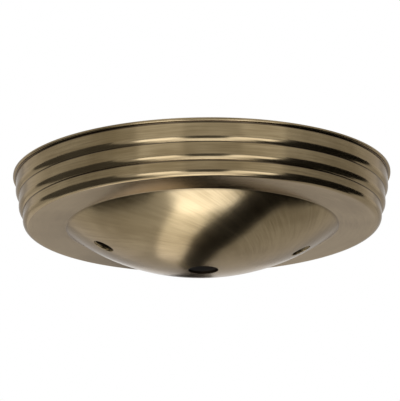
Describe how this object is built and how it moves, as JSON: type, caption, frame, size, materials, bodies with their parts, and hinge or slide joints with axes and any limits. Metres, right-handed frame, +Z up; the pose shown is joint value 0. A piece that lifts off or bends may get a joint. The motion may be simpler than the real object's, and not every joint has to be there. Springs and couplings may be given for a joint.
{
  "type": "light fixture ceiling canopy",
  "caption": "Round stepped ceiling canopy of drawn sheet metal with a shallow dome, a lamp pipe hole in the middle and screw holes beside it.",
  "frame": {"origin": "middle of the rim's top face, which lies against the ceiling", "axes": "+Z up, square to the rim and towards the ceiling, so the dome hangs to -Z; the two screw holes lie on the X axis"},
  "size_m": [0.1334, 0.1334, 0.034],
  "materials": {
    "antique_brass": "brushed antique brass under clear lacquer"
  },
  "bodies": {
    "root": {"canopy_shell": "antique_brass"}
  },
  "joints": []
}
